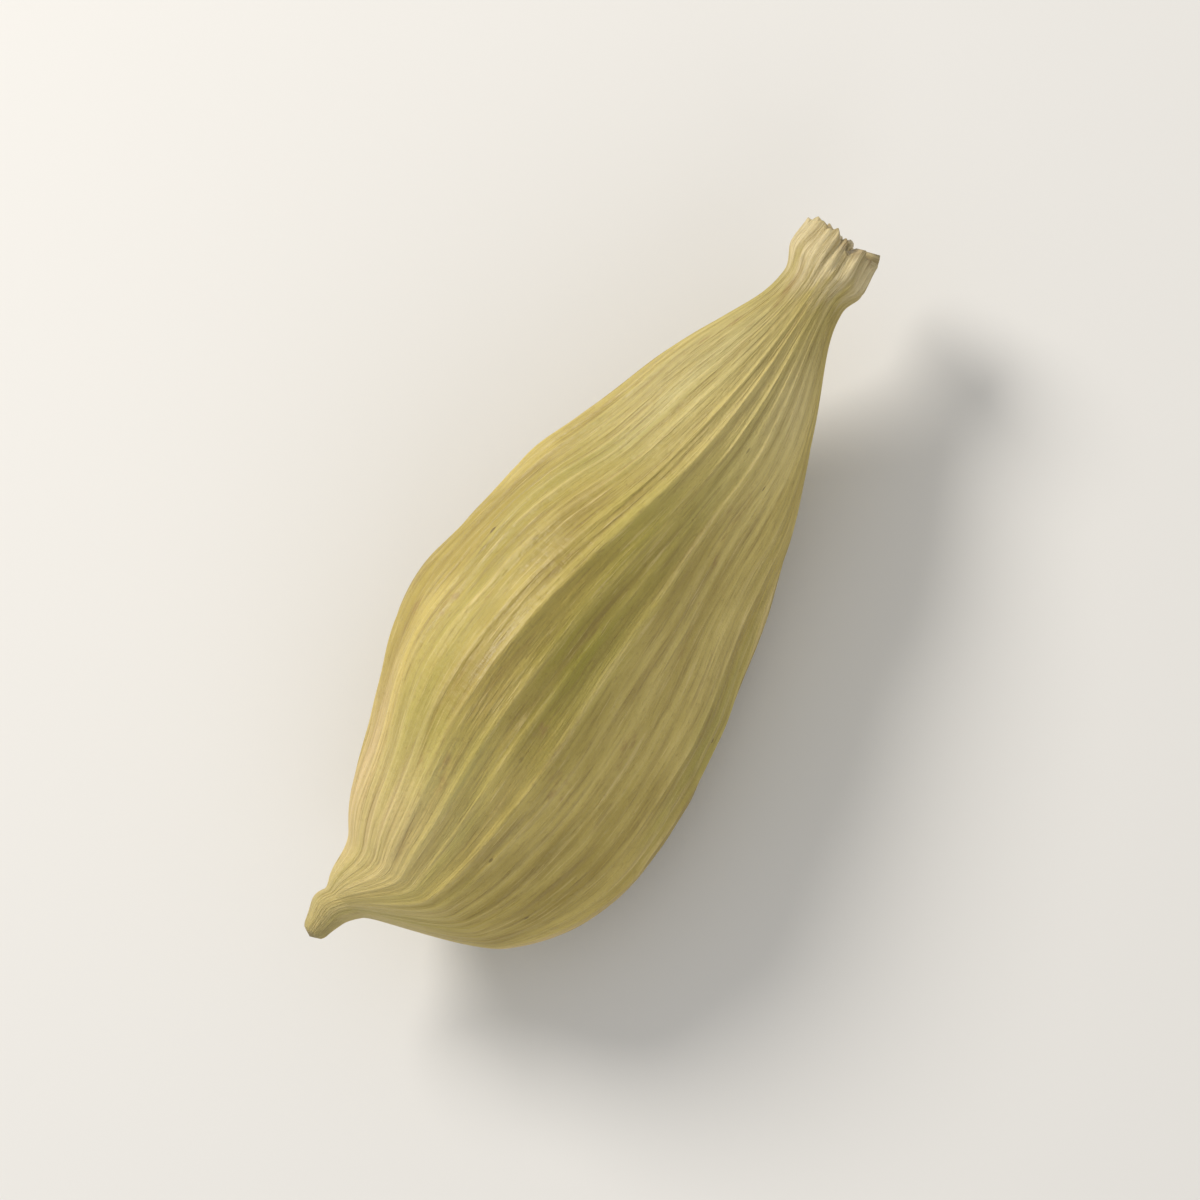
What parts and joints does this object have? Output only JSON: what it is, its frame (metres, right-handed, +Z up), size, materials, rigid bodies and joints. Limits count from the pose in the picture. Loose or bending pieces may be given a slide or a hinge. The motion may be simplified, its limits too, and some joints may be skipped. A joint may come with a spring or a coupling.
{
  "type": "cardamom pod",
  "caption": "Whole dried green cardamom pod: a ribbed, three-sided papery capsule with a pointed base and a short hollow beak, lying on one side.",
  "frame": {"origin": "on the surface the pod lies on, below the middle of its bounding box", "axes": "+X along the pod towards its beak, +Z up through the keel that faces up"},
  "size_m": [0.014, 0.0058, 0.0051],
  "materials": {
    "husk": "matt to satin, papery and finely ribbed along its length; pale olive green with cream keels and a cream beak"
  },
  "bodies": {
    "root": {"cardamom_pod": "husk"}
  },
  "joints": []
}
